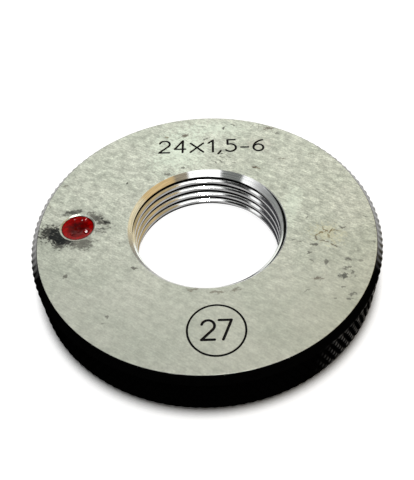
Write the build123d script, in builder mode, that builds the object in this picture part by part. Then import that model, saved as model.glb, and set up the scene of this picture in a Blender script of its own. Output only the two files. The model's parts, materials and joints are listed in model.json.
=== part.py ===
from build123d import *
import os
from math import ceil, cos, floor, pi, radians, sin, sqrt, tan

# Thread ring gauge for a right-hand metric fine thread, 24 mm across and 1.5 mm pitch.
# It is one hardened steel ring that is screwed by hand onto the thread under test, and
# the red enamel in a small dimple marks it as the gauge that must not go on.
# Units are millimetres. The origin is the middle of the back face, +Z runs along the
# bore and out of the marked face, and +Y points to the engraved numbers.

os.makedirs("parts", exist_ok=True)

# The ring and its thread
outer_diameter = 53.0
ring_height = 8.0
edge_chamfer = 1.0
thread_diameter = 24.0
thread_pitch = 1.5
thread_angle = 60
mouth_clearance = 0.1
bore_sectors = 8
bore_overrun = 1.0

# The thread's groove, a helix in flat facets. Its middle starts at a height above +X, and its
# cutter reaches a little into the bore
groove_stations = 24
groove_start = 0.28
cutter_reach = 0.2

# The knurl on the rim: low diamonds between two sets of crossed grooves
knurl_pitch = 1.28
knurl_angle = 30
knurl_depth = 0.3

# The engraved marks, cut with one pen inside a finer circle. A margin is measured from the face's edge
pen_width = 0.4
pen_depth = 0.12
letter_height = 3.0
letter_gap = 0.9
text_margin = 7.5
text_shift = 0.7
badge_margin = 6.6
badge_angle = -86.5
badge_radius = 3.92
badge_line = 0.3
badge_letter_gap = 0.6

# The dimple, drilled with a drill's point, and the enamel that fills it
dimple_margin = 3.14
dimple_radius = 2.66
dimple_cone_angle = 118
enamel_margin = 0.21
enamel_dish_depth = 0.35
enamel_pit_radius = 0.8
enamel_pit_depth = 0.45

# Worked out from the sizes above
outer_radius = outer_diameter / 2
face_radius = outer_radius - edge_chamfer
text_distance = face_radius - text_margin
badge_distance = face_radius - badge_margin
dimple_distance = face_radius - dimple_margin - dimple_radius
thread_radius = thread_diameter / 2
thread_triangle = thread_pitch * sqrt(3) / 2
bore_radius = thread_radius - thread_triangle * 5 / 8
mouth_radius = thread_radius + mouth_clearance
mouth_depth = mouth_radius - bore_radius
root_half = thread_pitch / 16
cutter_radius = bore_radius - cutter_reach
cutter_half = root_half + (thread_radius - cutter_radius) * tan(radians(thread_angle / 2))
marked_face = Plane.XY.offset(ring_height)
dimple_depth = dimple_radius / tan(radians(dimple_cone_angle / 2))
dimple_plane = Plane(
    origin=(-dimple_distance, 0, ring_height), x_dir=(1, 0, 0), z_dir=(0, -1, 0)
)


def pen_strokes(mark):
    """The width of a mark and the lines and arcs that the pen follows, for a height of 1."""
    if mark == "1":
        return 0.25, [Line((0, 0.75), (0.25, 1)), Line((0.25, 1), (0.25, 0))]
    if mark == "2":
        bow = CenterArc((0.29, 0.71), 0.29, 165, -205)
        return 0.58, [bow, Line(bow @ 1, (0, 0)), Line((0, 0), (0.58, 0))]
    if mark == "4":
        slope = Line((0.45, 1), (0, 0.28))
        return 0.6, [Line((0.45, 0), (0.45, 1)), slope, Line((0, 0.28), (0.6, 0.28))]
    if mark == "5":
        bow = CenterArc((0.25, 0.32), 0.32, 118, -258)
        return 0.57, [Line((0.52, 1), (0.1, 1)), Line((0.1, 1), bow @ 0), bow]
    if mark == "6":
        loop = [CenterArc((0.28, 0.28), 0.28, start, 180) for start in (0, 180)]
        return 0.56, [*loop, CenterArc((0.66, 0.28), 0.66, 180, -80)]
    if mark == "7":
        return 0.56, [Line((0, 1), (0.56, 1)), Line((0.56, 1), (0.18, 0))]
    if mark == "x":
        return 0.72, [Line((0, 0), (0.72, 0.76)), Line((0, 0.76), (0.72, 0))]
    if mark == ",":
        return 0.14, [Line((0.14, 0.06), (0, -0.18))]
    return 0.4, [Line((0, 0.34), (0.4, 0.34))]


def run_on(line):
    """A straight line made longer by half the pen's width at both ends, to fill the corners."""
    if line.geom_type != GeomType.LINE:
        return line
    reach = (line % 0) * pen_width / 2
    return Line(line @ 0 - reach, line @ 1 + reach)


size_marks = "24x1,5-6"
badge_marks = "27"
pen_marks = {}
for mark in size_marks + badge_marks:
    width, lines = pen_strokes(mark)
    scaled_lines = [run_on(line.scale(letter_height, about=(0, 0))) for line in lines]
    pen_marks[mark] = (width * letter_height, scaled_lines)


def engrave(marks, centre, gap):
    """Strokes of the pen's width along the lines of some marks, with their middle at a point."""
    widths = [pen_marks[mark][0] for mark in marks]
    left = centre.X - (sum(widths) + gap * (len(marks) - 1)) / 2
    for mark in marks:
        width, lines = pen_marks[mark]
        corner = Location((left, centre.Y - letter_height / 2, 0))
        for line in lines:
            trace(line.moved(corner), pen_width)
        left += width + gap


# The knurl: four-sided pyramids between crossed grooves, in rows half a diamond high
knurl_teeth = round(2 * pi * outer_radius / knurl_pitch)
knurl_columns = 2 * knurl_teeth
knurl_band = ring_height - 2 * edge_chamfer
knurl_rows = round(knurl_band / (knurl_pitch / 2 / tan(radians(knurl_angle))))
knurl_row_height = knurl_band / knurl_rows


def rim_point(column, radius, height):
    """A point of the rim on one of the knurl's columns."""
    angle = 2 * pi * column / knurl_columns
    return (radius * cos(angle), radius * sin(angle), height)


def knurl_point(column, row):
    """A peak where column and row are both odd or both even, and a valley elsewhere.

    The valleys of the first and the last row run on to where they leave the chamfer.
    """
    depth = knurl_depth * ((column + row) % 2)
    run_out = depth * ((row == knurl_rows) - (row == 0))
    return rim_point(column, outer_radius - depth, edge_chamfer + row * knurl_row_height + run_out)


def knurl_cell(column, row):
    """The two triangles of one cell, split along the groove between its two valleys."""
    low_left = knurl_point(column, row)
    low_right = knurl_point(column + 1, row)
    top_right = knurl_point(column + 1, row + 1)
    top_left = knurl_point(column, row + 1)
    if (column + row) % 2 == 0:
        return [(low_left, low_right, top_left), (top_right, top_left, low_right)]
    return [(low_right, top_right, low_left), (top_left, low_left, top_right)]


def chamfer_cell(column, row, height):
    """The two triangles between an end row of the knurl and the edge of a face."""
    left = rim_point(column, face_radius, height)
    right = rim_point(column + 1, face_radius, height)
    knurl_left = knurl_point(column, row)
    knurl_right = knurl_point(column + 1, row)
    return [(left, knurl_left, knurl_right), (left, knurl_right, right)]


outlines = []
for column in range(knurl_columns):
    for row in range(knurl_rows):
        outlines += knurl_cell(column, row)
    outlines += chamfer_cell(column, 0, 0)
    outlines += chamfer_cell(column, knurl_rows, ring_height)
for height in (0, ring_height):
    outlines.append([rim_point(column, face_radius, height) for column in range(knurl_columns)])
knurled_blank = Solid(Shell([Face(Wire.make_polygon(outline)) for outline in outlines]))

# The bore: its wall is the thread's crests, and its two mouths are cones of 45 degrees. It
# is cut as sectors, and each runs past both faces
with BuildPart() as bore_sector:
    with BuildSketch(Plane.XZ):
        with BuildLine():
            Polyline(
                (0, -bore_overrun),
                (mouth_radius + bore_overrun, -bore_overrun),
                (bore_radius, mouth_depth),
                (bore_radius, ring_height - mouth_depth),
                (mouth_radius + bore_overrun, ring_height + bore_overrun),
                (0, ring_height + bore_overrun),
                close=True,
            )
        make_face()
    revolve(axis=Axis.Z, revolution_arc=360 / bore_sectors)


def cutter_section(station):
    """The corners of the cutter at one station: its open side in the bore, then its root."""
    angle = 2 * pi * station / groove_stations
    middle = groove_start + thread_pitch * station / groove_stations
    corners = [
        (cutter_radius, -cutter_half),
        (thread_radius, -root_half),
        (thread_radius, root_half),
        (cutter_radius, cutter_half),
    ]
    return [(radius * cos(angle), radius * sin(angle), middle + rise) for radius, rise in corners]


# The groove rises to the right by one pitch a turn, and runs out past both faces
stations_per_mm = groove_stations / thread_pitch
first_station = floor((-cutter_half - groove_start) * stations_per_mm)
last_station = ceil((ring_height + cutter_half - groove_start) * stations_per_mm)
cutter_outlines = [cutter_section(first_station), cutter_section(last_station)]
for station in range(first_station, last_station):
    here, ahead = cutter_section(station), cutter_section(station + 1)
    for corner in range(4):
        across = (corner + 1) % 4
        cutter_outlines.append([here[corner], here[across], ahead[across]])
        cutter_outlines.append([here[corner], ahead[across], ahead[corner]])
groove_cutter = Solid(Shell([Face(Wire.make_polygon(outline)) for outline in cutter_outlines]))

# The ring: the knurled blank, the dimple and the marks, and then the bore and its thread
with BuildPart() as gauge_ring:
    add(knurled_blank)
    with Locations((-dimple_distance, 0, ring_height)):
        Cone(
            0, dimple_radius, dimple_depth,
            align=(Align.CENTER, Align.CENTER, Align.MAX),
            mode=Mode.SUBTRACT,
        )
    with BuildSketch(marked_face):
        badge_centre = Vector(badge_distance, 0).rotate(Axis.Z, badge_angle)
        with Locations(badge_centre):
            Circle(badge_radius + badge_line / 2)
            Circle(badge_radius - badge_line / 2, mode=Mode.SUBTRACT)
        engrave(badge_marks, badge_centre, badge_letter_gap)
        engrave(size_marks, Vector(text_shift, text_distance), letter_gap)
    extrude(amount=-pen_depth, mode=Mode.SUBTRACT)
    with PolarLocations(0, bore_sectors):
        add(bore_sector.part, mode=Mode.SUBTRACT, clean=False)
    add(groove_cutter, mode=Mode.SUBTRACT, clean=False)

gauge_ring.part.label = "gauge_ring"
export_step(gauge_ring.part, "parts/gauge_ring.step")

# The enamel: it wets the dimple's wall to just under the face, and dips to a small pit
enamel_radius = dimple_radius - enamel_margin
enamel_edge = -enamel_margin / tan(radians(dimple_cone_angle / 2))
enamel_dish = enamel_edge - enamel_dish_depth
with BuildPart() as marker_enamel:
    with BuildSketch(dimple_plane):
        with BuildLine():
            Line((0, -dimple_depth), (enamel_radius, enamel_edge))
            Line((enamel_radius, enamel_edge), (enamel_pit_radius, enamel_dish))
            Line((enamel_pit_radius, enamel_dish), (0, enamel_dish - enamel_pit_depth))
            Line((0, enamel_dish - enamel_pit_depth), (0, -dimple_depth))
        make_face()
    revolve(axis=Axis((-dimple_distance, 0, 0), (0, 0, 1)))

marker_enamel.part.label = "marker_enamel"
export_step(marker_enamel.part, "parts/marker_enamel.step")

print("knurl teeth", knurl_teeth, "rows", knurl_rows)
print("ring", round(gauge_ring.part.volume, 2), "mm3, faces", len(gauge_ring.part.faces()))
print("enamel", round(marker_enamel.part.volume, 3), "mm3")
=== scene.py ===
# %% [markdown]
# # A thread ring gauge
# A thread ring gauge is a flat, hardened steel ring with a precise thread in its bore. A turner
# screws it onto a bolt to judge the bolt's thread. The ring was turned, threaded, knurled on
# the rim and blackened, and then both faces were ground bright. This lesson builds its looks
# round the solid model: the turns of the thread, the knurl's beads, the engraved strokes, and
# then the steel, the black oxide, the enamel and the stains.

import json
from math import cos, radians, sin, tan

import bmesh
import bpy
import numpy as np
from mathutils import Matrix, Vector
from mathutils.geometry import delaunay_2d_cdt


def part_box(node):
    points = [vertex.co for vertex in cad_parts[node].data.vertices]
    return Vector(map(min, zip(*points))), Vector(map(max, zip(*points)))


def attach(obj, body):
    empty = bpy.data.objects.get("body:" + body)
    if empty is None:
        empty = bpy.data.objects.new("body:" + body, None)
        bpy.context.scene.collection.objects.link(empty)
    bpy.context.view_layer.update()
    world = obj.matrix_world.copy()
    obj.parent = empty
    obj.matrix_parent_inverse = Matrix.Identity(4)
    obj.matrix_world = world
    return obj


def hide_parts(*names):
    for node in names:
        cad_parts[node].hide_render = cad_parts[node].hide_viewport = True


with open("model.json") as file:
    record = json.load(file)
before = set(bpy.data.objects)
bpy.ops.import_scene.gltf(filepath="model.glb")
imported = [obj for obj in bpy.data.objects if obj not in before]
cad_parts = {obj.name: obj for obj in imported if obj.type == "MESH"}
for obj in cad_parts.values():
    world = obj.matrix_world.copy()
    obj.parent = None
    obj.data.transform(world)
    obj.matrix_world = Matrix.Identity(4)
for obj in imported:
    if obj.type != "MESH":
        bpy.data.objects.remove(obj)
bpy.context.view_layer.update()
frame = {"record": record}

# %% [markdown]
# ## Sizes
# Every shape below is worked out in millimetres, as a workshop drawing would be, and becomes
# metres only when its mesh is made. The outside, the height and the radius of the thread's
# crests come from the solid model. The sizes of details are named here once.

# %% Sizes of the ring, in millimetres
ring_low, ring_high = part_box("gauge_ring")
thread_mount = next(m for m in frame["record"]["mounts"] if m["name"] == "thread")
outer_radius = 1000 * (ring_high.x - ring_low.x) / 2
height = 1000 * (ring_high.z - ring_low.z)
crest_radius = thread_mount["dims"]["r_mm"]
chamfer = 1.0
face_radius = outer_radius - chamfer
root_radius = 12.0
mouth_radius = 12.1
pitch = 1.5
print("outside", outer_radius, "height", height, "crests", crest_radius)

# %% [markdown]
# ## Sheets of points
# Each surface of the ring is a sheet: an array of points and an array of triangles. A sheet on
# a grid has a row for each height and a column for each angle. Where its cells must bend along
# a groove, each cell is cut along the diagonal that lies in the groove.

# %% Helpers for sheets
def grid_triangles(rows, columns, rising):
    """Two triangles for each cell. A rising cell is cut from low left to top right."""
    corner = np.arange(rows * columns).reshape(rows, columns)
    low_left, low_right = corner[:-1, :-1], corner[:-1, 1:]
    top_left, top_right = corner[1:, :-1], corner[1:, 1:]
    cut_up = np.stack([low_left, low_right, top_right, low_left, top_right, top_left], -1)
    cut_down = np.stack([low_left, low_right, top_left, low_right, top_right, top_left], -1)
    rising = np.broadcast_to(rising, low_left.shape)[..., None]
    return np.where(rising, cut_up, cut_down).reshape(-1, 3)


def revolved_sheet(radius, level, columns, rising=True):
    """Points at radius and level for each row and each of the columns round the axis.

    The first and the last column are the same angle, and the seam is closed when the sheets
    are joined: x = radius * cos(turn), y = radius * sin(turn), z = level.
    """
    turn = np.linspace(0, 2 * np.pi, columns + 1)
    turn[-1] = 0
    radius, level = np.broadcast_arrays(radius, level, np.empty((1, columns + 1)))[:2]
    points = np.stack([radius * np.cos(turn), radius * np.sin(turn), level], -1)
    return points.reshape(-1, 3), grid_triangles(*radius.shape, rising)


def column(values):
    """A row of numbers stood upright, so that it runs over the rows of a grid."""
    return np.array(values, float)[:, None]


# %% [markdown]
# ## The knurl
# Two knurling wheels press crossed helical grooves into the rim, and what is left between
# them are rows of diamonds, here 130 round the ring. The wheels raise each diamond to a
# rounded bead. The height of a bead at a point only depends on the nearer of two grooves, so
# the whole rim is one formula on a grid with four steps for each half diamond. The grooves grow
# shallow in the end rows, where the wheels ran off the rim.

# %% Knurled rim
knurl_teeth = 130
knurl_rows = 5
knurl_depth = 0.3
end_depth = 0.11
knurl_steps = 4
bead_roundness = 1.35
rim_columns = 2 * knurl_teeth * knurl_steps


def knurl_beads(across, up):
    """1 on a bead's top and 0 in a groove, for a place counted in half diamonds.

    The grooves run where (across + up) / 2 or (across - up) / 2 is halfway between whole
    numbers, so the flank is 1 - 2 * the larger distance from a whole number, then rounded.
    """
    rising, falling = (across + up) / 2, (across - up) / 2
    flank = 1 - 2 * np.maximum(abs(rising - np.round(rising)), abs(falling - np.round(falling)))
    return 1 - (1 - flank) ** bead_roundness


def knurled_rim():
    """The rim between the two chamfers. Its grooves fade from one row inside to end_depth, and
    its end rows run out onto the 45 degree chamfers."""
    across = np.arange(rim_columns + 1)[None] / knurl_steps
    up = np.arange(knurl_rows * knurl_steps + 1)[:, None] / knurl_steps
    inner = np.minimum(1, np.minimum(up, knurl_rows - up))
    depth = end_depth + (knurl_depth - end_depth) * inner
    radius = outer_radius - depth * (1 - knurl_beads(across, up))
    level = chamfer + up * (height - 2 * chamfer) / knurl_rows + 0 * across
    level[0] = radius[0] - face_radius
    level[-1] = height - level[0]
    cell_parity = np.floor(across[:, :-1]) + np.floor(up[:-1])
    return revolved_sheet(radius, level, rim_columns, cell_parity % 2 == 1)


rim = knurled_rim()
print("knurl", len(rim[1]), "triangles")

# %% [markdown]
# ## The chamfers and the broken edges
# A ground ring has no razor edge: a stone breaks it, and the narrow flat that is left catches
# the light as a bright line round the face. The broken edge is a strip between the face and
# the chamfer, and the chamfer a strip between that and the knurl.

# %% Chamfers and broken edges
edge_face_radius = face_radius - 0.05
edge_drop = 0.04
edge_chamfer_radius = face_radius + edge_drop


def edge_strips(upper):
    """The chamfer and the broken edge of the marked face, or of the back."""
    points, _ = rim
    rows = points.reshape(-1, rim_columns + 1, 3)
    end_row = rows[-1] if upper else rows[0]
    level = height - edge_drop if upper else edge_drop
    face_level = height if upper else 0.0
    broken = revolved_sheet(
        column([edge_chamfer_radius, edge_face_radius]), column([level, face_level]), rim_columns
    )
    outer_row = broken[0].reshape(2, -1, 3)[0]
    slope = np.concatenate([end_row, outer_row]), grid_triangles(2, rim_columns + 1, True)
    return slope, broken


# %% [markdown]
# ## The thread
# The bore holds a right-hand metric thread with flanks at 60 degrees. Its crests are flats an
# eighth of a pitch to each side of their middle, and its roots are half as wide. The rows of
# the grid follow the helix, so that crests, flanks and roots keep crisp edges: a row is a
# fixed distance from a crest, and rises by one pitch in each turn. At the two mouths the
# thread is cut off by a 45 degree countersink, and the rows next to that cut are moved onto it.

# %% Threaded bore
bore_columns = 360
first_crest = 1.03
crest_half = 1 / 8
flank_end = crest_half + (root_radius - crest_radius) / tan(radians(60)) / pitch
stops = [-crest_half, crest_half, flank_end, 1 - flank_end, 1 - crest_half]
steps = [3, 5, 2, 5]


def thread_radius(level, turn):
    """The bore's radius: the distance from the nearest crest, carried up the 60 degree flank."""
    climb = (level - first_crest) / pitch - turn / (2 * np.pi)
    from_crest = abs(climb - np.round(climb))
    flank = crest_radius + (from_crest - crest_half) * pitch * tan(radians(60))
    return np.clip(flank, crest_radius, root_radius)


def mouth_cone(level):
    """The radius of the countersink, which is 45 degrees from the nearer face inwards."""
    return mouth_radius - np.minimum(level, height - level)


def threaded_bore():
    """The thread between the two faces, with its rows on the helix and on the countersinks."""
    one_turn = np.concatenate(
        [np.linspace(a, b, n, endpoint=False) for a, b, n in zip(stops, stops[1:], steps)]
    )
    first, last = -2, int(height / pitch) + 2
    rows = (np.arange(first, last)[:, None] + one_turn).reshape(-1, 1)
    turn = np.linspace(0, 2 * np.pi, bore_columns + 1)
    level = np.clip(first_crest + pitch * (rows + turn / (2 * np.pi)), 0, height)
    excess = thread_radius(level, turn) - mouth_cone(level)
    below, above = excess[:-1], excess[1:]
    crossing = below * above < 0
    share = np.divide(below, below - above, out=np.zeros_like(below), where=crossing)
    cut = level[:-1] + share * (level[1:] - level[:-1])
    lower, upper = crossing & (share < 0.5), crossing & (share >= 0.5)
    level[:-1][lower] = cut[lower]
    level[1:][upper] = cut[upper]
    radius = np.maximum(thread_radius(level, turn), mouth_cone(level))
    return revolved_sheet(radius, level, bore_columns)


bore = threaded_bore()
print("thread", len(bore[1]), "triangles before its ends are merged")

# %% [markdown]
# ## The engraved strokes
# The marks are cut by one round pen that follows single lines and arcs, in the plain style of
# an engraving machine. A mark is drawn here for a height of 1, and then placed and scaled. The
# marks say what the gauge is for: a thread 24 mm across, 1.5 mm from turn to turn, to grade 6.

# %% Pen strokes of the marks
pen_width = 0.4
badge_line = 0.3
pen_depth = 0.12
letter_height = 3.0
arc_step = 6


def arc(centre, radius, start, sweep):
    """Points along an arc: centre + radius * (cos, sin) of the angles from start on."""
    angles = np.radians(np.linspace(start, start + sweep, int(abs(sweep) / arc_step) + 2))
    return np.array(centre) + radius * np.stack([np.cos(angles), np.sin(angles)], -1)


def pen_strokes(mark):
    """The width of a mark and the paths that the pen follows, for a height of 1."""
    if mark == "1":
        return 0.25, [[(0, 0.75), (0.25, 1)], [(0.25, 1), (0.25, 0)]]
    if mark == "2":
        bow = arc((0.29, 0.71), 0.29, 165, -205)
        return 0.58, [bow, [bow[-1], (0, 0)], [(0, 0), (0.58, 0)]]
    if mark == "4":
        return 0.6, [[(0.45, 0), (0.45, 1)], [(0.45, 1), (0, 0.28)], [(0, 0.28), (0.6, 0.28)]]
    if mark == "5":
        bow = arc((0.25, 0.32), 0.32, 118, -258)
        return 0.57, [[(0.52, 1), (0.1, 1)], [(0.1, 1), bow[0]], bow]
    if mark == "6":
        return 0.56, [arc((0.28, 0.28), 0.28, 0, 360), arc((0.66, 0.28), 0.66, 180, -80)]
    if mark == "7":
        return 0.56, [[(0, 1), (0.56, 1)], [(0.56, 1), (0.18, 0)]]
    if mark == "x":
        return 0.72, [[(0, 0), (0.72, 0.76)], [(0, 0.76), (0.72, 0)]]
    if mark == ",":
        return 0.14, [[(0.14, 0.06), (0, -0.18)]]
    return 0.4, [[(0, 0.34), (0.4, 0.34)]]


def line_of_marks(marks, centre, gap):
    """The placed strokes of a line of marks, spaced by the gap and centred on a point."""
    drawn = [pen_strokes(mark) for mark in marks]
    widths = [width * letter_height for width, _ in drawn]
    left = centre[0] - (sum(widths) + gap * (len(marks) - 1)) / 2
    placed = []
    for width, (_, strokes) in zip(widths, drawn):
        corner = np.array([left, centre[1] - letter_height / 2])
        placed += [corner + letter_height * np.array(stroke, float) for stroke in strokes]
        left += width + gap
    return placed


# %% Place the marks on the face
size_centre = (0.7, 18.0)
badge_angle = -86.5
badge_distance = 18.9
badge_centre = badge_distance * np.array([cos(radians(badge_angle)), sin(radians(badge_angle))])
badge_radius = 3.92
strokes = line_of_marks("24x1,5-6", size_centre, 0.9)
strokes += line_of_marks("27", badge_centre, 0.6)
cuts = [(np.array(path, float), pen_width / 2) for path in strokes]
cuts.append((arc(badge_centre, badge_radius, 0, 360), badge_line / 2))
print("engraving", len(cuts), "strokes")

# %% [markdown]
# ## The ground faces
# Cutting each stroke out of a flat mesh with a Boolean would be slow and would leave ragged
# triangles. Instead, the outlines of the strokes are laid into one flat triangulation, and
# every point near a stroke is then sunk to the depth that a round pen leaves there. The back
# is the same face without its marks.

# %% Triangulate the faces
dimple_centre = np.array([-19.7, 0.0])
dimple_radius = 2.66
dimple_columns = 96
inner_share = 0.55


def circle(centre, radius, columns):
    """Points round a circle, with the same angles as a sheet of as many columns."""
    turn = np.linspace(0, 2 * np.pi, columns, endpoint=False)
    return np.array(centre) + radius * np.stack([np.cos(turn), np.sin(turn)], -1)


def stroke_outline(path, reach):
    """The path moved sideways by the reach to both sides, with a half circle at each end."""
    along = np.gradient(path, axis=0)
    along /= np.linalg.norm(along, axis=1, keepdims=True)
    aside = np.stack([-along[:, 1], along[:, 0]], -1)
    cap = np.radians(np.arange(22.5, 180, 22.5))[:, None]
    end = path[-1] + reach * (np.cos(cap) * -aside[-1] + np.sin(cap) * along[-1])
    start = path[0] + reach * (np.cos(cap) * aside[0] - np.sin(cap) * along[0])
    return np.concatenate([path - reach * aside, end, (path + reach * aside)[::-1], start])


def stroke_share(points):
    """The distance from each point to the nearest stroke, as a share of that stroke's reach."""
    start = np.concatenate([path[:-1] for path, _ in cuts])
    span = np.concatenate([np.diff(path, axis=0) for path, _ in cuts])
    reach = np.concatenate([np.full(len(path) - 1, reach) for path, reach in cuts])
    offset = points[:, None] - start
    share = np.clip((offset * span).sum(-1) / (span**2).sum(-1), 0, 1)[..., None]
    return (np.linalg.norm(offset - share * span, axis=-1) / reach).min(1)


def flat_face(loops, paths):
    """A constrained triangulation of closed loops and open paths, as points and triangles."""
    points, edges, count = [], [], 0
    for run, closed in [(loop, True) for loop in loops] + [(path, False) for path in paths]:
        ids = count + np.arange(len(run))
        edges += list(zip(ids.tolist(), (np.roll(ids, -1) if closed else ids[1:]).tolist()))
        points.append(run)
        count += len(run)
    vectors = [Vector(point) for point in np.concatenate(points)]
    placed, _, triangles, *_ = delaunay_2d_cdt(vectors, edges, [], 0, 1e-6)
    return np.array([tuple(point) for point in placed]), np.array(triangles)


def without_hole(points, triangles, centre, radius):
    """Leaves out the triangles whose three corners all lie on a hole's edge."""
    on_edge = abs(np.linalg.norm(points - centre, axis=1) - radius) < 1e-4
    return triangles[~on_edge[triangles].all(1)]


# %% Build the two faces
def face_edges():
    """The circles where a face ends: at its broken edge and at the bore's mouth."""
    return [circle((0, 0), edge_face_radius, rim_columns), circle((0, 0), mouth_radius, bore_columns)]


def marked_face():
    """The face with the marks. A pen's groove is pen_depth * (1 - (distance / reach) ** 2)."""
    loops = [*face_edges(), circle(dimple_centre, dimple_radius, dimple_columns)]
    for path, reach in cuts:
        if np.allclose(path[0], path[-1]):
            middle, radius = path[:-1].mean(0), np.linalg.norm(path[0] - path[:-1].mean(0))
            for share in (-1, -inner_share, inner_share, 1):
                loops.append(circle(middle, radius + share * reach, len(path) - 1))
        else:
            loops += [stroke_outline(path, share * reach) for share in (1, inner_share)]
    points, triangles = flat_face(loops, [path for path, _ in cuts])
    triangles = without_hole(points, triangles, (0, 0), mouth_radius)
    triangles = without_hole(points, triangles, dimple_centre, dimple_radius)
    groove = pen_depth * (1 - np.minimum(stroke_share(points), 1) ** 2)
    return np.column_stack([points, height - groove]), triangles


def back_face():
    """The plain face that the ring rests on."""
    points, triangles = flat_face(face_edges(), [])
    triangles = without_hole(points, triangles, (0, 0), mouth_radius)
    return np.column_stack([points, np.zeros(len(points))]), triangles


marked, back = marked_face(), back_face()
print("marked face", len(marked[1]), "triangles, back", len(back[1]))

# %% [markdown]
# ## The dimple
# The enamel sits in a dimple that a drill's point left, so the dimple is a cone of 118
# degrees. Only a narrow ring of its wall shows round the enamel.

# %% Drilled dimple
drill_slope = tan(radians(118 / 2))
enamel_radius = 2.45


def dimple_wall():
    """A cone: the level falls by 1 for each drill_slope that the radius shrinks."""
    radius = column([dimple_radius, enamel_radius, enamel_radius / 2, 0])
    level = height - (dimple_radius - radius) / drill_slope
    points, triangles = revolved_sheet(radius, level, dimple_columns)
    points[:, :2] += dimple_centre
    return points, triangles


# %% [markdown]
# ## Join the ring
# The sheets meet point by point, so joining them is a matter of merging doubles. A closed mesh
# has exactly two faces at each edge, which is counted here. Each sheet brings the number of its
# finish: ground steel, the bore's steel, or the black oxide of the knurl or of the chamfers. An
# edge is drawn sharp where two finishes meet, or where the surface turns by more than its
# finish allows.

# %% Make one mesh from sheets
merge_distance = 1e-7


def make_piece(name, sheets, sharp_angles):
    """A closed mesh object in metres. A sheet is (points, triangles, finish)."""
    points = np.concatenate([sheet[0] for sheet in sheets]) / 1000
    starts = np.cumsum([0] + [len(sheet[0]) for sheet in sheets])
    triangles = np.concatenate([sheet[1] + start for sheet, start in zip(sheets, starts)])
    finish = np.concatenate([np.full(len(sheet[1]), sheet[2]) for sheet in sheets])
    mesh = bpy.data.meshes.new(name)
    mesh.from_pydata(points, [], triangles.tolist())
    mesh.polygons.foreach_set("material_index", finish.astype(np.int32))
    soup = bmesh.new()
    soup.from_mesh(mesh)
    bmesh.ops.remove_doubles(soup, verts=soup.verts, dist=merge_distance)
    bmesh.ops.dissolve_degenerate(soup, edges=soup.edges, dist=merge_distance)
    bmesh.ops.triangulate(soup, faces=soup.faces)
    bmesh.ops.recalc_face_normals(soup, faces=soup.faces)
    soup.to_mesh(mesh)
    soup.free()
    mark_sharp(mesh, sharp_angles)
    piece = bpy.data.objects.new(name, mesh)
    bpy.context.scene.collection.objects.link(piece)
    return piece


def mark_sharp(mesh, sharp_angles):
    """Sharp edges: where two finishes meet, or two faces turn more than their finish allows."""
    edge = np.empty(len(mesh.loops), np.int32)
    mesh.loops.foreach_get("edge_index", edge)
    normal = np.empty(3 * len(mesh.polygons), np.float32)
    mesh.polygons.foreach_get("normal", normal)
    normal = normal.reshape(-1, 3)
    finish = np.empty(len(mesh.polygons), np.int32)
    mesh.polygons.foreach_get("material_index", finish)
    uses = np.bincount(edge)
    open_edges = int((uses != 2).sum())
    print(mesh.name, len(mesh.polygons), "triangles, edges not shared by two:", open_edges)
    face = np.repeat(np.arange(len(mesh.polygons)), 3)[np.argsort(edge, kind="stable")]
    first, second = face[::2], face[1::2]
    turn = np.degrees(np.arccos(np.clip((normal[first] * normal[second]).sum(1), -1, 1)))
    limit = np.array(sharp_angles)[finish[first]]
    mesh.edges.foreach_set("use_edge_sharp", (turn > limit) | (finish[first] != finish[second]))
    mesh.polygons.foreach_set("use_smooth", np.ones(len(mesh.polygons), bool))


# %% Join the ring
GROUND, BORE, OXIDE, CHAMFER = 0, 1, 2, 3
ring_sheets = [(*rim, OXIDE), (*bore, BORE), (*marked, GROUND), (*back, GROUND)]
ring_sheets.append((*dimple_wall(), GROUND))
for upper in (True, False):
    slope, broken = edge_strips(upper)
    ring_sheets += [(*slope, CHAMFER), (*broken, GROUND)]
ring = make_piece("threaded_ring", ring_sheets, (15, 25, 38, 38))

# %% [markdown]
# ## The enamel
# The red drop was poured into the dimple and cured. It wets the wall up to its rim, sank in
# the middle as it dried, and its skin set in soft folds round a small pit. The folds are a few
# low hills on a dish. Some of them have a small flat side that leans to the front, and the
# glossy skin turns each flat into a glint.

# %% Enamel drop
enamel_gap = 0.006
enamel_rows = 28
dish_depth = 0.42
hollow_depth, hollow_radius = 0.3, 0.45
pit_depth = 0.62
# distance and angle from the dimple's centre, rise, width
folds = [(1.38, -19, 0.24, 0.28), (2.2, 64, 0.24, 0.2), (2.04, 112, 0.12, 0.28), (1.87, 76, 0.18, 0.28)]
folds += [(1.31, 296, 0.07, 0.5), (1.38, 235, 0.06, 0.5), (1.45, 180, 0.05, 0.6)]
# place from the dimple's centre and reach of each flat, and the rise of all flats along x and y
flats = [(1.31, -0.56, 0.28), (0.98, 1.9, 0.22), (-0.75, 1.8, 0.14), (0.4, 1.75, 0.12), (-0.79, -1.13, 0.1)]
flat_lean = (-0.174, 0.524)
flat_fade = 0.26


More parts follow.
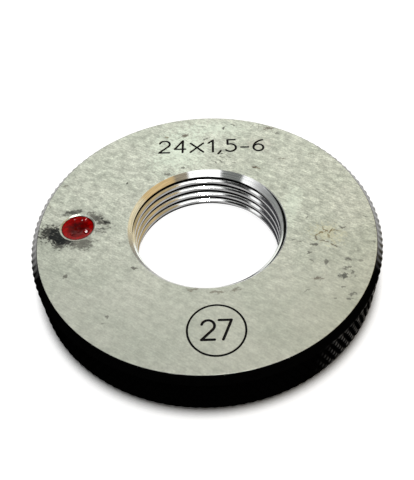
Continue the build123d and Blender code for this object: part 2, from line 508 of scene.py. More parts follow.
def enamel_skin(radius, turn):
    """The skin's depth below its rim.

    A dish that falls as the square of the way in, a hollow that fades as a bell curve, and
    bell-shaped folds that end at the rim. Then the flats: a plane takes over within its reach.
    """
    inward = 1 - radius / enamel_radius
    depth = dish_depth * (1 - (1 - inward) ** 2) + hollow_depth * np.exp(-((radius / hollow_radius) ** 2))
    x, y = radius * np.cos(turn), radius * np.sin(turn)
    for distance, angle, rise, width in folds:
        away = (x - distance * cos(radians(angle))) ** 2 + (y - distance * sin(radians(angle))) ** 2
        depth = depth - rise * np.exp(-away / width**2) * np.minimum(1, 4 * inward)
    for flat_x, flat_y, reach in flats:
        away = np.hypot(x - flat_x, y - flat_y)
        share = np.clip(1 + (reach - away) / flat_fade, 0, 1) * np.minimum(1, 12 * inward)
        share = share**2 * (3 - 2 * share)
        middle = dish_depth * (1 - (flat_x**2 + flat_y**2) / enamel_radius**2)
        plane = middle - flat_lean[0] * (x - flat_x) - flat_lean[1] * (y - flat_y)
        depth = depth + share * (plane - depth)
    return np.minimum(depth, pit_depth)


def enamel_sheets():
    """The skin on a polar grid, and below it a cone a hair inside the dimple's wall."""
    turn = np.linspace(0, 2 * np.pi, dimple_columns + 1)
    radius = column(enamel_radius * np.sin(np.linspace(np.pi / 2, 0, enamel_rows)))
    rim_level = height - (dimple_radius - enamel_radius) / drill_slope
    skin = revolved_sheet(radius, rim_level - enamel_skin(radius, turn), dimple_columns)
    low = column([enamel_radius, 1.4, 0])
    cone_level = rim_level - (enamel_radius - low) / drill_slope + enamel_gap * (low < enamel_radius)
    cone = revolved_sheet(low, cone_level, dimple_columns)
    for points, _ in (skin, cone):
        points[:, :2] = points[:, :2] * (1 - enamel_gap / enamel_radius) + dimple_centre
    return [(*skin, 0), (*cone, 0)]


enamel = make_piece("enamel_drop", enamel_sheets(), (40,))

# %% [markdown]
# ## Small helpers for materials
# Node trees are easier to read as formulas. Most of these helpers add one node, fill its
# sockets and hand back its output.

# %% Helpers for node trees
def feed(tree, node, values):
    """Puts numbers, colours or other nodes' outputs into a node's first or named sockets."""
    for key, value in values.items() if isinstance(values, dict) else enumerate(values):
        if isinstance(value, bpy.types.NodeSocket):
            tree.links.new(value, node.inputs[key])
        else:
            node.inputs[key].default_value = value


def add_node(tree, kind, values=(), **settings):
    """A new node with its settings, and with the values in its sockets."""
    node = tree.nodes.new(kind)
    for name, value in settings.items():
        setattr(node, name, value)
    feed(tree, node, values)
    return node


def maths(tree, operation, *values):
    return add_node(tree, "ShaderNodeMath", values, operation=operation).outputs[0]


def vector_maths(tree, operation, *values, output=0):
    return add_node(tree, "ShaderNodeVectorMath", values, operation=operation).outputs[output]


def split(tree, vector):
    """The three numbers of a vector."""
    return add_node(tree, "ShaderNodeSeparateXYZ", [vector]).outputs


def ease(tree, value, start, end, low=0.0, high=1.0):
    """From low to high as the value goes from start to end, level at both ends."""
    values = {"Value": value, "From Min": start, "From Max": end, "To Min": low, "To Max": high}
    return add_node(tree, "ShaderNodeMapRange", values, interpolation_type="SMOOTHSTEP").outputs[0]


def blend(tree, share, below, above, mode="MIX"):
    """Two colours mixed by a share; a mode such as MULTIPLY mixes them another way."""
    values = {0: share, 6: below, 7: above}
    return add_node(tree, "ShaderNodeMix", values, data_type="RGBA", blend_type=mode).outputs[2]


def blend_numbers(tree, share, first, second):
    return add_node(tree, "ShaderNodeMix", {0: share, 2: first, 3: second}, data_type="FLOAT").outputs[0]


def noise(tree, place, scale, detail=3.0, roughness=0.5):
    values = {"Vector": place, "Scale": scale, "Detail": detail, "Roughness": roughness}
    return add_node(tree, "ShaderNodeTexNoise", values).outputs["Fac"]


def laid_along(tree, place, degrees, length, width):
    """A place turned back by some degrees round the axis, and divided by a length and a width."""
    angle = maths(tree, "MULTIPLY", maths(tree, "RADIANS", degrees), -1.0)
    values = {"Vector": place, "Angle": angle}
    turned = add_node(tree, "ShaderNodeVectorRotate", values, rotation_type="Z_AXIS")
    size = add_node(tree, "ShaderNodeCombineXYZ", [length, width, 1.0])
    return vector_maths(tree, "DIVIDE", turned.outputs[0], size.outputs[0])


def grey(level):
    return (level, level, level, 1)


# %% [markdown]
# ## Node groups
# Three effects are used again and again. One group gives a point's place on the ring in millimetres, one
# draws the lines that a wheel's grit leaves, and one gives the ragged mask of a single patch from the table
# of stains and painted light.

# %% Make a node group
def new_group(name, inputs, outputs):
    """An empty group, what it is given, and its output node. A socket is (label, kind)."""
    group = bpy.data.node_groups.new(name, "ShaderNodeTree")
    for label, kind in inputs:
        group.interface.new_socket(label, in_out="INPUT", socket_type=kind)
    for label, kind in outputs:
        group.interface.new_socket(label, in_out="OUTPUT", socket_type=kind)
    return group, group.nodes.new("NodeGroupInput").outputs, group.nodes.new("NodeGroupOutput")


NUMBER, VECTOR, COLOUR = "NodeSocketFloat", "NodeSocketVector", "NodeSocketColor"


def use_group(tree, group, values):
    return add_node(tree, "ShaderNodeGroup", values, node_tree=group).outputs


# %% Place on the ring
def place_group():
    """Object coordinates in millimetres, with the distance from the axis and the height."""
    outputs = [("Place", VECTOR), ("Radius", NUMBER), ("Height", NUMBER)]
    group, _, out = new_group("Place on the ring", [], outputs)
    coordinates = add_node(group, "ShaderNodeTexCoord").outputs["Object"]
    place = vector_maths(group, "MULTIPLY", coordinates, (1000, 1000, 1000))
    flat = vector_maths(group, "MULTIPLY", place, (1, 1, 0))
    radius = vector_maths(group, "LENGTH", flat, output=1)
    feed(group, out, {"Place": place, "Radius": radius, "Height": split(group, place)[2]})
    return group


# %% Tool lines
def lines_group():
    """Noise drawn out along one direction, as a wheel's grit leaves it, from 0 to 1."""
    inputs = [("Place", VECTOR), ("Direction", NUMBER), ("Length", NUMBER), ("Width", NUMBER)]
    group, given, out = new_group("Tool lines", inputs, [("Lines", NUMBER)])
    stretched = laid_along(group, *[given[label] for label, _ in inputs])
    feed(group, out, {"Lines": noise(group, stretched, 1.0, 3.0, 0.6)})
    return group


# %% One patch of stain or painted light
def stain_group():
    """The mask of one patch from the table of stains and painted light: how far inside its oval a point
    lies, with grain eating its edge.
    """
    inputs = [("Place", VECTOR), ("Grain", NUMBER), ("Middle", VECTOR), ("Half length", NUMBER)]
    inputs += [("Half width", NUMBER), ("Angle", NUMBER), ("Raggedness", NUMBER), ("Softness", NUMBER)]
    group, given, out = new_group("Stain and light patch", inputs, [("Mask", NUMBER)])
    offset = vector_maths(group, "SUBTRACT", given["Place"], given["Middle"])
    flat = vector_maths(group, "MULTIPLY", offset, (1, 1, 0))
    oval = [given[label] for label in ("Angle", "Half length", "Half width")]
    scaled = laid_along(group, flat, *oval)
    inside = maths(group, "SUBTRACT", 1.0, vector_maths(group, "LENGTH", scaled, output=1))
    centred = maths(group, "SUBTRACT", given["Grain"], 0.5)
    eaten = maths(group, "MULTIPLY_ADD", centred, given["Raggedness"], inside)
    feed(group, out, {"Mask": ease(group, eaten, 0.0, given["Softness"])})
    return group


ring_place = place_group()
tool_lines = lines_group()
stain_and_light_mask = stain_group()


def new_material(name):
    """A material with its tree, its Principled BSDF and its place on the ring."""
    material = bpy.data.materials.new(name)
    material.use_nodes = True
    tree = material.node_tree
    shader = tree.nodes["Principled BSDF"]
    return material, tree, shader, use_group(tree, ring_place, {})


# %% [markdown]
# ## Stains and painted light
# An old gauge tells where it was held and where cutting oil dried on it. Each patch on the marked face is
# one line here: its place in millimetres, its half length and half width, its angle, how ragged and how
# soft its edge is, how strong it is and its colour. The soot lies round the enamel, the rust to the right
# of the bore, and small pits are spread over the face. Three lighter patches, at the back of the face and
# to the right of the bore, are painted light.

# %% Stains and painted light of the marked face
SOOT = (0.012, 0.014, 0.015, 1)
GREY = (0.09, 0.09, 0.082, 1)
RUST = (0.14, 0.09, 0.02, 1)
BROWN = (0.07, 0.04, 0.022, 1)
PINK = (0.52, 0.46, 0.42, 1)
STRAW = (0.6, 0.57, 0.4, 1)
PAINTED_LIGHT = (0.76, 0.84, 0.74, 1)
stains_and_painted_light = [
    # the soot round the enamel
    (-23.5, -1.1, 2.7, 2.3, 8, 1.0, 0.6, 0.85, GREY),
    (-23.8, -0.9, 2.0, 1.8, -20, 1.5, 0.7, 0.7, SOOT),
    (-22.4, -1.7, 2.0, 1.8, -20, 1.0, 0.5, 0.9, SOOT),
    (-21.3, -2.7, 1.7, 0.9, -18, 0.8, 0.4, 0.97, SOOT),
    (-21.9, -3.4, 1.5, 1.1, 10, 1.2, 0.6, 0.8, SOOT),
    (-18.6, -3.3, 2.7, 1.5, -8, 1.2, 0.7, 0.8, GREY),
    (-21.0, 3.1, 2.1, 0.6, 14, 1.0, 0.6, 0.8, SOOT),
    (-17.3, 1.9, 2.2, 1.1, -38, 1.1, 0.6, 0.8, GREY),
    (-16.1, 0.8, 2.3, 1.0, -28, 1.5, 0.8, 0.75, GREY),
    (-16.16, 1.72, 0.3, 0.16, 20, 0.5, 0.4, 0.95, SOOT),
    (-15.3, 0.75, 0.9, 0.22, -28, 1.2, 0.5, 0.75, SOOT),
    (-15.9, -0.4, 1.4, 0.2, -4, 1.2, 0.5, 0.65, SOOT),
    (-16.4, -1.0, 1.2, 0.5, -8, 2.0, 0.7, 0.55, GREY),
    (-15.5, -1.25, 0.5, 0.14, 10, 0.9, 0.5, 0.6, SOOT),
    # painted light: lighter patches where more light falls on the face
    (-4.5, 17.0, 7.5, 6.2, 60, 1.6, 0.9, 0.6, PAINTED_LIGHT),
    (1.5, 22.5, 8.0, 2.6, 0, 1.6, 0.9, 0.4, PAINTED_LIGHT),
    (13.2, 3.5, 2.0, 6.0, -12, 1.2, 0.9, 0.4, PAINTED_LIGHT),
    # specks over the marks
    (-7.0, 20.5, 0.35, 0.3, 30, 1.2, 0.5, 0.7, RUST),
    (-3.9, 20.9, 0.8, 0.5, 50, 1.6, 0.5, 0.75, BROWN),
    (-4.9, 20.2, 0.5, 0.16, 40, 1.2, 0.5, 0.6, GREY),
    (-0.1, 19.9, 0.8, 0.3, 40, 1.6, 0.5, 0.75, GREY),
    (-0.7, 23.2, 0.8, 0.3, -10, 1.8, 0.6, 0.6, GREY),
    (2.9, 22.6, 0.45, 0.2, 70, 0.8, 0.4, 0.85, GREY),
    (4.6, 23.5, 0.7, 0.18, -25, 1.2, 0.5, 0.75, GREY),
    (7.9, 23.0, 0.8, 0.12, 75, 1.0, 0.5, 0.5, BROWN),
    (9.1, 22.9, 0.8, 0.12, 75, 1.0, 0.5, 0.5, BROWN),
    (10.7, 22.3, 1.0, 0.55, -15, 1.8, 0.5, 0.65, BROWN),
    (12.1, 20.9, 0.4, 0.25, 20, 1.4, 0.5, 0.6, GREY),
    (8.7, 18.2, 3.2, 1.9, -10, 1.6, 0.9, 0.35, PINK),
    (2.3, 15.9, 0.35, 0.14, 30, 0.6, 0.4, 0.8, SOOT),
    (1.4, 13.8, 1.0, 0.12, -42, 1.2, 0.5, 0.7, GREY),
    (2.2, 14.1, 1.0, 0.12, -42, 1.2, 0.5, 0.7, GREY),
    (2.5, 15.0, 1.0, 0.14, -42, 1.4, 0.5, 0.7, GREY),
    (3.6, 15.2, 0.7, 0.12, -42, 1.2, 0.5, 0.6, GREY),
    (4.4, 13.7, 0.4, 0.16, -20, 1.2, 0.5, 0.6, GREY),
    (7.7, 12.4, 0.5, 0.25, 10, 1.0, 0.4, 0.9, BROWN),
    (8.4, 12.1, 0.5, 0.22, -30, 1.2, 0.5, 0.6, RUST),
    (-4.0, 12.6, 0.5, 0.28, -20, 1.4, 0.5, 0.7, GREY),
    (-6.6, 11.2, 0.7, 0.32, -10, 1.6, 0.5, 0.7, GREY),
    (-8.9, 11.7, 0.3, 0.16, -10, 1.2, 0.5, 0.5, GREY),
    (-13.0, 9.3, 0.36, 0.24, 70, 0.8, 0.4, 0.8, SOOT),
    (-22.8, 9.0, 0.7, 0.35, 40, 1.8, 0.6, 0.45, BROWN),
    (-24.6, 4.4, 0.3, 0.18, 0, 1.4, 0.6, 0.5, BROWN),
    # to the right of the bore
    (12.6, 14.4, 1.3, 0.14, -8, 1.6, 0.5, 0.45, BROWN),
    (17.6, 15.5, 0.6, 0.16, 20, 1.4, 0.5, 0.5, BROWN),
    (15.0, 9.5, 0.35, 0.14, -10, 1.2, 0.5, 0.5, GREY),
    (19.0, 6.2, 0.25, 0.14, 10, 1.2, 0.5, 0.6, GREY),
    (15.3, 0.85, 0.5, 0.14, 48, 0.8, 0.5, 0.75, GREY),
    (24.2, 0.7, 0.45, 0.13, -12, 0.8, 0.5, 0.7, GREY),
    (25.3, -1.3, 0.25, 0.2, 0, 0.8, 0.5, 0.6, GREY),
    (17.9, -2.6, 3.2, 2.4, -10, 1.8, 0.9, 0.5, STRAW),
    (17.7, -1.9, 0.9, 0.24, -50, 1.6, 0.5, 0.75, RUST),
    (18.3, -2.2, 0.8, 0.18, 50, 1.6, 0.5, 0.75, RUST),
    (19.3, -1.95, 0.6, 0.15, 10, 1.4, 0.5, 0.65, RUST),
    (16.9, -2.4, 0.9, 0.16, 25, 1.4, 0.5, 0.65, RUST),
    (18.1, -3.1, 0.7, 0.16, -60, 1.4, 0.5, 0.6, RUST),
    (16.2, -3.4, 0.8, 0.2, -60, 1.4, 0.5, 0.65, BROWN),
    (17.4, -4.1, 1.2, 0.16, -12, 1.2, 0.5, 0.65, BROWN),
    (18.6, -4.8, 0.9, 0.18, -35, 1.4, 0.5, 0.7, BROWN),
    (15.8, -4.6, 0.8, 0.22, 5, 1.4, 0.5, 0.75, GREY),
    (20.1, -1.35, 0.6, 0.14, -50, 0.8, 0.5, 0.65, GREY),
    (20.7, -1.4, 0.6, 0.14, 15, 0.8, 0.5, 0.65, GREY),
    (12.8, -3.6, 0.5, 0.13, 5, 0.8, 0.5, 0.6, GREY),
    (13.6, -3.95, 0.5, 0.13, -40, 0.8, 0.5, 0.65, GREY),
    (24.6, -4.4, 0.25, 0.25, 0, 0.8, 0.5, 0.5, GREY),
    (14.7, -6.2, 0.5, 0.2, 35, 0.8, 0.5, 0.75, GREY),
    (14.9, -7.6, 0.5, 0.16, -25, 1.2, 0.6, 0.55, GREY),
    (17.1, -8.0, 0.6, 0.4, 60, 1.0, 0.6, 0.7, GREY),
    (20.3, -7.6, 0.65, 0.4, -30, 1.2, 0.6, 0.7, GREY),
    (22.0, -7.9, 0.4, 0.32, 0, 1.2, 0.6, 0.5, GREY),
    (21.9, -5.8, 0.6, 0.5, 0, 1.8, 0.9, 0.35, GREY),
    (19.8, -9.1, 0.9, 0.35, 20, 1.8, 0.6, 0.65, GREY),
    (19.1, -10.5, 0.9, 0.6, 0, 2.0, 0.6, 0.75, SOOT),
    (20.6, -9.9, 0.5, 0.3, 80, 1.2, 0.6, 0.65, GREY),
    (15.6, -10.9, 0.7, 0.45, 10, 2.0, 0.6, 0.6, BROWN),
    (20.9, -10.6, 0.3, 0.2, 0, 1.2, 0.6, 0.5, GREY),
    (18.9, -12.5, 0.4, 0.26, 0, 1.4, 0.6, 0.6, GREY),
    (20.1, -13.7, 0.7, 0.4, 20, 1.8, 0.6, 0.65, GREY),
    (19.5, -14.6, 0.5, 0.3, -20, 1.8, 0.6, 0.65, GREY),
    (17.5, -14.3, 0.4, 0.2, 0, 1.4, 0.6, 0.5, GREY),
    (13.8, -12.9, 0.5, 0.12, 30, 0.8, 0.5, 0.55, GREY),
    # the near part of the face
    (-20.15, -9.4, 0.42, 0.36, 0, 1.0, 0.6, 0.75, GREY),
    (-13.6, -16.4, 0.4, 0.24, 0, 1.2, 0.6, 0.6, GREY),
    (-13.9, -17.5, 0.3, 0.2, 0, 1.2, 0.6, 0.5, GREY),
    (-10.5, -8.15, 0.5, 0.3, -10, 1.2, 0.5, 0.8, GREY),
    (-13.1, -3.4, 0.45, 0.2, -30, 1.6, 0.7, 0.4, GREY),
    (-2.1, -12.3, 1.2, 0.3, 4, 1.4, 0.7, 0.5, BROWN),
    (1.1, -12.8, 1.4, 0.35, 0, 1.4, 0.7, 0.5, BROWN),
    (3.9, -12.4, 0.9, 0.3, 12, 1.4, 0.7, 0.5, BROWN),
]

# %% [markdown]
# ## Ground steel
# Both faces were ground on a surface grinder, which leaves fine straight lines in one
# direction, and lapped by years of wiping. Steel is a metal, so its colour is the colour of its
# reflection, and the lines change its roughness and tilt it a little. The dark paint rubbed
# into the engraved strokes is found by its depth below the face.

# %% Ground steel material
ragged_reach = 0.9
grinding_angle = -32.0
PAINT = (0.005, 0.005, 0.006, 1)


def stained_and_lit(tree, colour, place, lines):
    """The colour with every stain and painted light patch laid over it, and the strongest patch's mask."""
    warp = add_node(tree, "ShaderNodeTexNoise", {"Vector": place, "Scale": 1.6, "Detail": 3.0})
    centred = vector_maths(tree, "SUBTRACT", warp.outputs["Color"], (0.5, 0.5, 0.5))
    ragged = vector_maths(tree, "MULTIPLY_ADD", centred, (ragged_reach,) * 3, place)
    grain = ease(tree, noise(tree, place, 1.9, 4.0, 0.6), 0.25, 0.75)
    grain = blend_numbers(tree, 0.4, grain, lines)
    strongest = 0.0
    labels = ("Half length", "Half width", "Angle", "Raggedness", "Softness")
    for x, y, *form, strength, tint in stains_and_painted_light:
        values = {"Place": ragged, "Grain": grain, "Middle": (x, y, 0), **dict(zip(labels, form))}
        mask = maths(tree, "MULTIPLY", use_group(tree, stain_and_light_mask, values)["Mask"], strength)
        colour = blend(tree, mask, colour, tint)
        strongest = maths(tree, "MAXIMUM", strongest, mask)
    return colour, strongest


def from_dimple(tree, place):
    """The distance from the dimple's centre, seen from above."""
    flat = vector_maths(tree, "MULTIPLY", place, (1, 1, 0))
    return vector_maths(tree, "DISTANCE", flat, (*dimple_centre, 0), output=1)


def ground_steel():
    """Four patterns of noise on one colour, coarser at the back, then the stain and painted light patches
    of the table, and the paint.
    """
    material, tree, shader, ring_at = new_material("ground_steel")
    place, level = ring_at["Place"], ring_at["Height"]
    wheel = {"Place": place, "Direction": grinding_angle}
    fine = use_group(tree, tool_lines, {**wheel, "Length": 0.9, "Width": 0.25})["Lines"]
    broad = use_group(tree, tool_lines, {**wheel, "Length": 1.8, "Width": 0.8})["Lines"]
    fine, broad = ease(tree, fine, 0.3, 0.7), ease(tree, broad, 0.3, 0.7)
    grit = ease(tree, noise(tree, place, 3.6, 2.0, 0.6), 0.25, 0.75)
    mottle = ease(tree, noise(tree, place, 0.75, 2.0, 0.6), 0.25, 0.75)
    clouds = ease(tree, noise(tree, place, 0.16, 3.0, 0.55), 0.25, 0.75)
    colour = blend(tree, clouds, (0.483, 0.504, 0.444, 1), (0.552, 0.562, 0.503, 1))
    coarse = ease(tree, split(tree, place)[1], -18.0, 2.0, 0.4, 1.0)
    for pattern, depth in ((fine, 0.17), (broad, 0.17), (grit, 0.17), (mottle, 0.15)):
        shade = blend(tree, pattern, grey(1 - depth), grey(1 + depth))
        colour = blend(tree, coarse, colour, shade, "MULTIPLY")
    marked_side = maths(tree, "GREATER_THAN", level, height / 2)
    off_dimple = ease(tree, from_dimple(tree, place), dimple_radius + 0.02, dimple_radius + 0.1)
    engraved = maths(tree, "MULTIPLY", marked_side, off_dimple)
    stained_and_lit_colour, strongest = stained_and_lit(tree, colour, place, fine)
    strongest = maths(tree, "MULTIPLY", strongest, engraved)
    colour = blend(tree, engraved, colour, stained_and_lit_colour)
    paint = maths(tree, "MULTIPLY", ease(tree, level, height - 0.003, height - 0.02), engraved)
    colour = blend(tree, paint, colour, PAINT)
    luminous = add_node(tree, "ShaderNodeRGBToBW", [colour]).outputs[0]
    dark_stain = maths(tree, "MULTIPLY", strongest, ease(tree, luminous, 0.4, 0.2))
    dull = maths(tree, "MAXIMUM", dark_stain, paint)
    rough = blend_numbers(tree, dull, maths(tree, "MULTIPLY_ADD", fine, 0.14, 0.33), 0.6)
    metallic = maths(tree, "MULTIPLY_ADD", dull, -0.8, 1.0)
    bump = add_node(tree, "ShaderNodeBump", {"Strength": 0.25, "Distance": 0.00002, "Height": fine})
    feed(tree, shader, {"Base Color": colour, "Metallic": metallic, "Roughness": rough})
    feed(tree, shader, {"Specular IOR Level": 0.1, "Normal": bump.outputs[0]})
    return material


# %% [markdown]
# ## Bore steel
# The thread's crests and flanks were ground and lapped until they shone. The deepest part of each groove is
# painted black as shade, where the turn above hides it, so the turns stand out as black lines, and the
# crests are painted a darker grey than the flanks, also as shade. Small dark specks of oxide lie over the
# bore. The countersinks at the mouths are as bright as the flanks, but dull on the near side and on the
# right, where bolts were led in and hands held the ring.

# %% Bore steel material
# The radius past which each groove is painted black as shade, and the black for that painted shade and for
# the oxide specks.
groove_shade_radius = 11.57
OXIDE_AND_SHADE_BLACK = grey(0.006)


def bore_steel():
    """Painted black shade lies where the radius is past groove_shade_radius, but not on a countersink's
    cone; the crests are painted a darker grey as shade.
    """
    material, tree, shader, ring_at = new_material("bore_steel")
    place, radius, level = ring_at["Place"], ring_at["Radius"], ring_at["Height"]
    around = vector_maths(tree, "MULTIPLY", place, (0.3, 0.3, 9.0))
    lines = ease(tree, noise(tree, around, 1.0, 3.0, 0.6), 0.3, 0.7)
    colour = blend(tree, lines, (0.66, 0.67, 0.66, 1), (0.93, 0.94, 0.94, 1))
    # Painted shade: the crests get a darker grey than the flanks.
    crest = ease(tree, radius, crest_radius + 0.06, crest_radius + 0.02)
    colour = blend(tree, crest, colour, blend(tree, lines, grey(0.22), grey(0.46)))
    below_mouth = maths(tree, "MINIMUM", level, maths(tree, "SUBTRACT", height, level))
    from_cone = maths(tree, "ADD", radius, maths(tree, "SUBTRACT", below_mouth, mouth_radius))
    # Painted shade: the deepest part of each groove is painted black, away from the countersinks.
    groove_shade = ease(tree, radius, groove_shade_radius - 0.04, groove_shade_radius + 0.04)
    groove_shade = maths(tree, "MULTIPLY", groove_shade, ease(tree, from_cone, 0.02, 0.06))
    specks = ease(tree, noise(tree, place, 2.2, 4.0, 0.65), 0.67, 0.71)
    shade_and_specks = maths(tree, "MAXIMUM", groove_shade, maths(tree, "MULTIPLY", specks, 0.8))
    colour = blend(tree, shade_and_specks, colour, OXIDE_AND_SHADE_BLACK)
    east, north, _ = split(tree, place)
    handled = maths(tree, "MAXIMUM", ease(tree, north, 2.0, -3.0), ease(tree, east, 5.0, 9.0))
    handled = maths(tree, "MULTIPLY", handled, ease(tree, from_cone, 0.06, 0.02))
    rough = blend_numbers(tree, handled, maths(tree, "MULTIPLY_ADD", lines, 0.06, 0.07), 0.34)
    rough = blend_numbers(tree, shade_and_specks, rough, 0.5)
    bump = add_node(tree, "ShaderNodeBump", {"Strength": 0.07, "Distance": 0.00002, "Height": lines})
    metal = {"Base Color": colour, "Metallic": 1.0, "Roughness": rough, "Normal": bump.outputs[0]}
    feed(tree, shader, metal)
    return material


# %% [markdown]
# ## Black oxide
# The rim and the chamfers kept the black oxide of the hardening shop. It is dark and almost without gloss.
# The tops of the knurl's beads are painted grey only on the right: rubbed tops, and painted light where the
# light falls on that side. The chamfers are smooth, so towards a grazing view they shine, except at the
# front.

# %% Black oxide material
# The direction of the rim's right side, where the bead tops are painted lighter as light.
lit_side_direction = (0.985, -0.174, 0.0)


def black_oxide(name, glossy):
    """Oxide on the knurl, or with a gloss that grows towards a grazing view on the chamfers."""
    material, tree, shader, ring_at = new_material(name)
    place = ring_at["Place"]
    colour = blend(tree, noise(tree, place, 0.5, 4.0), grey(0.0006), grey(0.0016))
    bead_top = ease(tree, ring_at["Radius"], outer_radius - 0.14, outer_radius - 0.03)
    patches = ease(tree, noise(tree, place, 0.3), 0.3, 0.6)
    # Painted light: the grey bead tops are kept to the right, where the light falls.
    lit_side = ease(tree, vector_maths(tree, "DOT_PRODUCT", place, lit_side_direction, output=1), 17.5, 22.5)
    wear_and_painted_light = maths(tree, "MULTIPLY", bead_top, maths(tree, "MULTIPLY", patches, lit_side))
    colour = blend(tree, maths(tree, "MULTIPLY", wear_and_painted_light, 0.8), colour, grey(0.2))
    rough = blend_numbers(tree, wear_and_painted_light, 0.4, 0.3)
    feed(tree, shader, {"Base Color": colour, "Roughness": rough, "Specular IOR Level": 0.0})
    if glossy:
        facing = add_node(tree, "ShaderNodeLayerWeight", {"Blend": 0.5}).outputs["Facing"]
        behind = ease(tree, split(tree, place)[1], -10.0, -3.0)
        gloss = maths(tree, "MULTIPLY", ease(tree, facing, 0.3, 0.65), behind)
        feed(tree, shader, {"Coat Weight": gloss, "Coat Roughness": 0.16, "Coat IOR": 2.4})
    return material


# %% [markdown]
# ## Red enamel
# Enamel is a clear coat over red pigment. Its colour is painted darker the deeper the skin lies, as shade
# in the pit, and lighter on the folds.

# %% Red enamel material
def red_enamel():
    material, tree, shader, ring_at = new_material("red_enamel")
    depth = maths(tree, "SUBTRACT", height, ring_at["Height"])
    # Painted shade: the colour darkens towards the pit.
    out_of_pit_shade = ease(tree, depth, 0.5, 0.2)
    colour = blend(tree, out_of_pit_shade, (0.09, 0.0, 0.0, 1), (0.3, 0.0, 0.0, 1))
    mottle = ease(tree, noise(tree, ring_at["Place"], 1.8, 3.0, 0.6), 0.3, 0.7)
    colour = blend(tree, 0.7, colour, blend(tree, mottle, grey(0.35), grey(1.4)), "MULTIPLY")
    outward = from_dimple(tree, ring_at["Place"])
    edge = ease(tree, outward, enamel_radius - 0.2, enamel_radius - 0.03)
    colour = blend(tree, edge, colour, (0.012, 0.0, 0.0, 1))
    feed(tree, shader, {"Base Color": colour, "Roughness": 0.1, "Specular IOR Level": 0.08})
    return material


oxides = black_oxide("knurl_oxide", False), black_oxide("chamfer_oxide", True)
for material in (ground_steel(), bore_steel(), *oxides):
    ring.data.materials.append(material)
enamel.data.materials.append(red_enamel())

# %% [markdown]
# ## The pieces ride with the gauge
# The gauge has no joints, so both pieces ride on its one body. Each stands for one solid, and that solid is
# hidden.

# %% Tie the pieces to the solids
for piece, node, slot in ((ring, "gauge_ring", "ring_steel"), (enamel, "marker_enamel", "red_enamel")):
    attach(piece, "root")
    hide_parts(node)

# %% [markdown]
# ## The floor
# The gauge lies on a white table. The floor is a plain white surface that also keeps the gauge's soft
# shadow. Seen by the camera or in the steel, it glows a little, so that it looks white without more light
# on the gauge. Close under the rim, where little of the sky is open, the glow is cut off by an occlusion
# mask, which paints a dark contact shadow there; inside the bore the glow stays.

# %% Floor
floor_glow = 0.84


def white_floor(size=3.0):
    bpy.ops.mesh.primitive_plane_add(size=size)
    floor = bpy.context.object
    floor.name = "floor"
    material, tree, shader, ring_at = new_material("white_table")
    feed(tree, shader, {"Base Color": grey(0.32), "Roughness": 0.8, "Specular IOR Level": 0.0})
    rays = add_node(tree, "ShaderNodeLightPath").outputs
    seen = maths(tree, "MAXIMUM", rays["Is Camera Ray"], rays["Is Glossy Ray"])
    seen = maths(tree, "MAXIMUM", seen, rays["Is Transmission Ray"])
    # Painted shadow: close under the rim an occlusion mask cuts the glow, but not inside the bore.
    open_sky = add_node(tree, "ShaderNodeAmbientOcclusion", {"Distance": 0.003}, samples=16)
    in_bore = ease(tree, ring_at["Radius"], 22.0, 18.0)
    glow_outside_painted_shadow = maths(tree, "MAXIMUM", ease(tree, open_sky.outputs["AO"], 0.45, 0.85), in_bore)
    glow = maths(tree, "MULTIPLY", maths(tree, "MULTIPLY", seen, floor_glow), glow_outside_painted_shadow)
    feed(tree, shader, {"Emission Color": grey(1.0), "Emission Strength": glow})
    floor.data.materials.append(material)


white_floor()

# %% [markdown]
# ## The room's light
# Polished steel shows the room round it, so the light is made of soft panels on a grey
# surround: a bright one behind and others in front and above, warm ones to the right, dark gaps
# to the left and low in front, and one small lamp high in front. A panel is a window in angle
# round the horizon and angle above it, with soft edges.

# %% Soft panel group
def panel_group():
    """A colour laid over what is below, inside a window of azimuth and elevation in degrees."""
    inputs = [("Azimuth", NUMBER), ("Elevation", NUMBER), ("Below", COLOUR), ("Middle azimuth", NUMBER)]
    inputs += [("Middle elevation", NUMBER), ("Half width", NUMBER), ("Half height", NUMBER)]
    inputs += [("Softness", NUMBER), ("Panel", COLOUR)]
    group, given, out = new_group("Soft panel", inputs, [("Colour", COLOUR)])
    across = maths(group, "SUBTRACT", given["Azimuth"], given["Middle azimuth"])
    across = maths(group, "ABSOLUTE", maths(group, "WRAP", across, 180.0, -180.0))
    up = maths(group, "SUBTRACT", given["Elevation"], given["Middle elevation"])
    share = 1.0
    for way, half in ((across, "Half width"), (maths(group, "ABSOLUTE", up), "Half height")):
        end = maths(group, "ADD", given[half], given["Softness"])
        share = maths(group, "MULTIPLY", share, ease(group, way, end, given[half]))
    feed(group, out, {"Colour": blend(group, share, given["Below"], given["Panel"])})
    return group


# %% Studio world
# middle azimuth, middle elevation, half width, half height, softness, colour
panels = [
    (104, 30, 40, 14, 24, (1.3, 1.33, 1.24, 1)),
    (-122, 8, 74, 18, 6, (0.01, 0.01, 0.01, 1)),
    (150, 45, 22, 14, 5, (0.05, 0.05, 0.055, 1)),
    (152, 18, 22, 9, 6, (0.28, 0.29, 0.28, 1)),
    (20, 52, 38, 22, 8, (0.5, 0.39, 0.21, 1)),
    (-15, 35, 30, 14, 8, (0.72, 0.52, 0.26, 1)),
    (33, 10, 24, 16, 6, (0.85, 0.74, 0.5, 1)),
    (-52, 44, 9, 10, 4, (0.35, 0.3, 0.22, 1)),
    (-88, 50, 23, 16, 4, (1.5, 1.5, 1.5, 1)),
    (-129, 46, 15, 18, 3, (0.2, 0.21, 0.2, 1)),
    (-156, 40, 9, 9, 4, (1.4, 1.4, 1.4, 1)),
    (-178, 60, 9, 5, 4, (1.3, 1.3, 1.3, 1)),
    (-177, 48, 6, 6, 3, (1.2, 1.2, 1.25, 1)),
    (-154, 68, 22, 7, 2, (0.02, 0.02, 0.02, 1)),
    (-72, 76, 50, 12, 4, (1.6, 1.6, 1.6, 1)),
    (-75, 76, 10, 2.5, 0.5, (110.0, 110.0, 110.0, 1)),
]


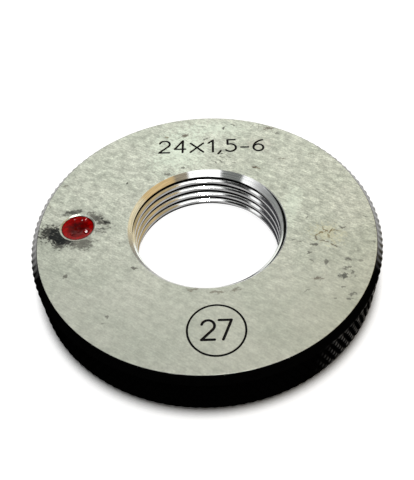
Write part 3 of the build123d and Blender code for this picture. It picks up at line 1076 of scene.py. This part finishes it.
def studio_world():
    world = bpy.data.worlds.new("studio")
    world.use_nodes = True
    tree = world.node_tree
    background = tree.nodes["Background"]
    x, y, z = split(tree, add_node(tree, "ShaderNodeTexCoord").outputs["Generated"])
    azimuth = maths(tree, "DEGREES", maths(tree, "ARCTAN2", y, x))
    elevation = maths(tree, "DEGREES", maths(tree, "ARCSINE", z))
    soft_panel = panel_group()
    colour = grey(0.55)
    labels = ("Middle azimuth", "Middle elevation", "Half width", "Half height", "Softness", "Panel")
    for panel in panels:
        values = {"Azimuth": azimuth, "Elevation": elevation, "Below": colour, **dict(zip(labels, panel))}
        colour = use_group(tree, soft_panel, values)["Colour"]
    seen = add_node(tree, "ShaderNodeLightPath").outputs["Is Camera Ray"]
    feed(tree, background, {"Color": blend(tree, seen, colour, grey(1.0))})
    bpy.context.scene.world = world


studio_world()

# %% [markdown]
# ## The camera
# The photograph was taken from close by, 93 mm from the middle of the marked face and 48
# degrees above it, with the camera turned a few degrees on each of its axes. The turns are
# applied one after the other, as a tripod head would do it.

# %% Camera
scene = bpy.context.scene
camera_elevation = 47.8
camera_distance = 93.3
camera_yaw, camera_pitch, camera_roll = -2.14, -1.07, -3.13
ring_turn = 2.2
frame_width, frame_height = 414, 480
focal_pixels = 613
middle_x, middle_y = 231, 234


def photo_camera():
    """Looks from the distance and elevation at the face's middle, then yaws, pitches and rolls."""
    right = Vector((1, 0, 0))
    behind = Vector((0, -cos(radians(camera_elevation)), sin(radians(camera_elevation))))
    place = Vector((0, 0, height)) + camera_distance * behind
    up = behind.cross(right)
    yaw = Matrix.Rotation(radians(camera_yaw), 3, up)
    right, behind = yaw @ right, yaw @ behind
    pitch_turn = Matrix.Rotation(radians(camera_pitch), 3, right)
    up, behind = pitch_turn @ up, pitch_turn @ behind
    roll = Matrix.Rotation(radians(camera_roll), 3, behind)
    right, up = roll @ right, roll @ up
    axes = Matrix((right, up, behind)).transposed().to_4x4()
    data = bpy.data.cameras.new("photo_camera")
    camera = bpy.data.objects.new("photo_camera", data)
    bpy.context.scene.collection.objects.link(camera)
    spin = Matrix.Rotation(radians(ring_turn), 4, "Z")
    camera.matrix_world = spin @ Matrix.Translation(place / 1000) @ axes
    data.sensor_fit = "VERTICAL"
    data.sensor_height = 36
    data.lens = focal_pixels / frame_height * data.sensor_height
    data.shift_x = (frame_width / 2 - middle_x) / frame_height
    data.shift_y = (middle_y - frame_height / 2) / frame_height
    data.clip_start = 0.005
    return camera


scene.camera = photo_camera()
scene.view_settings.view_transform = "Standard"
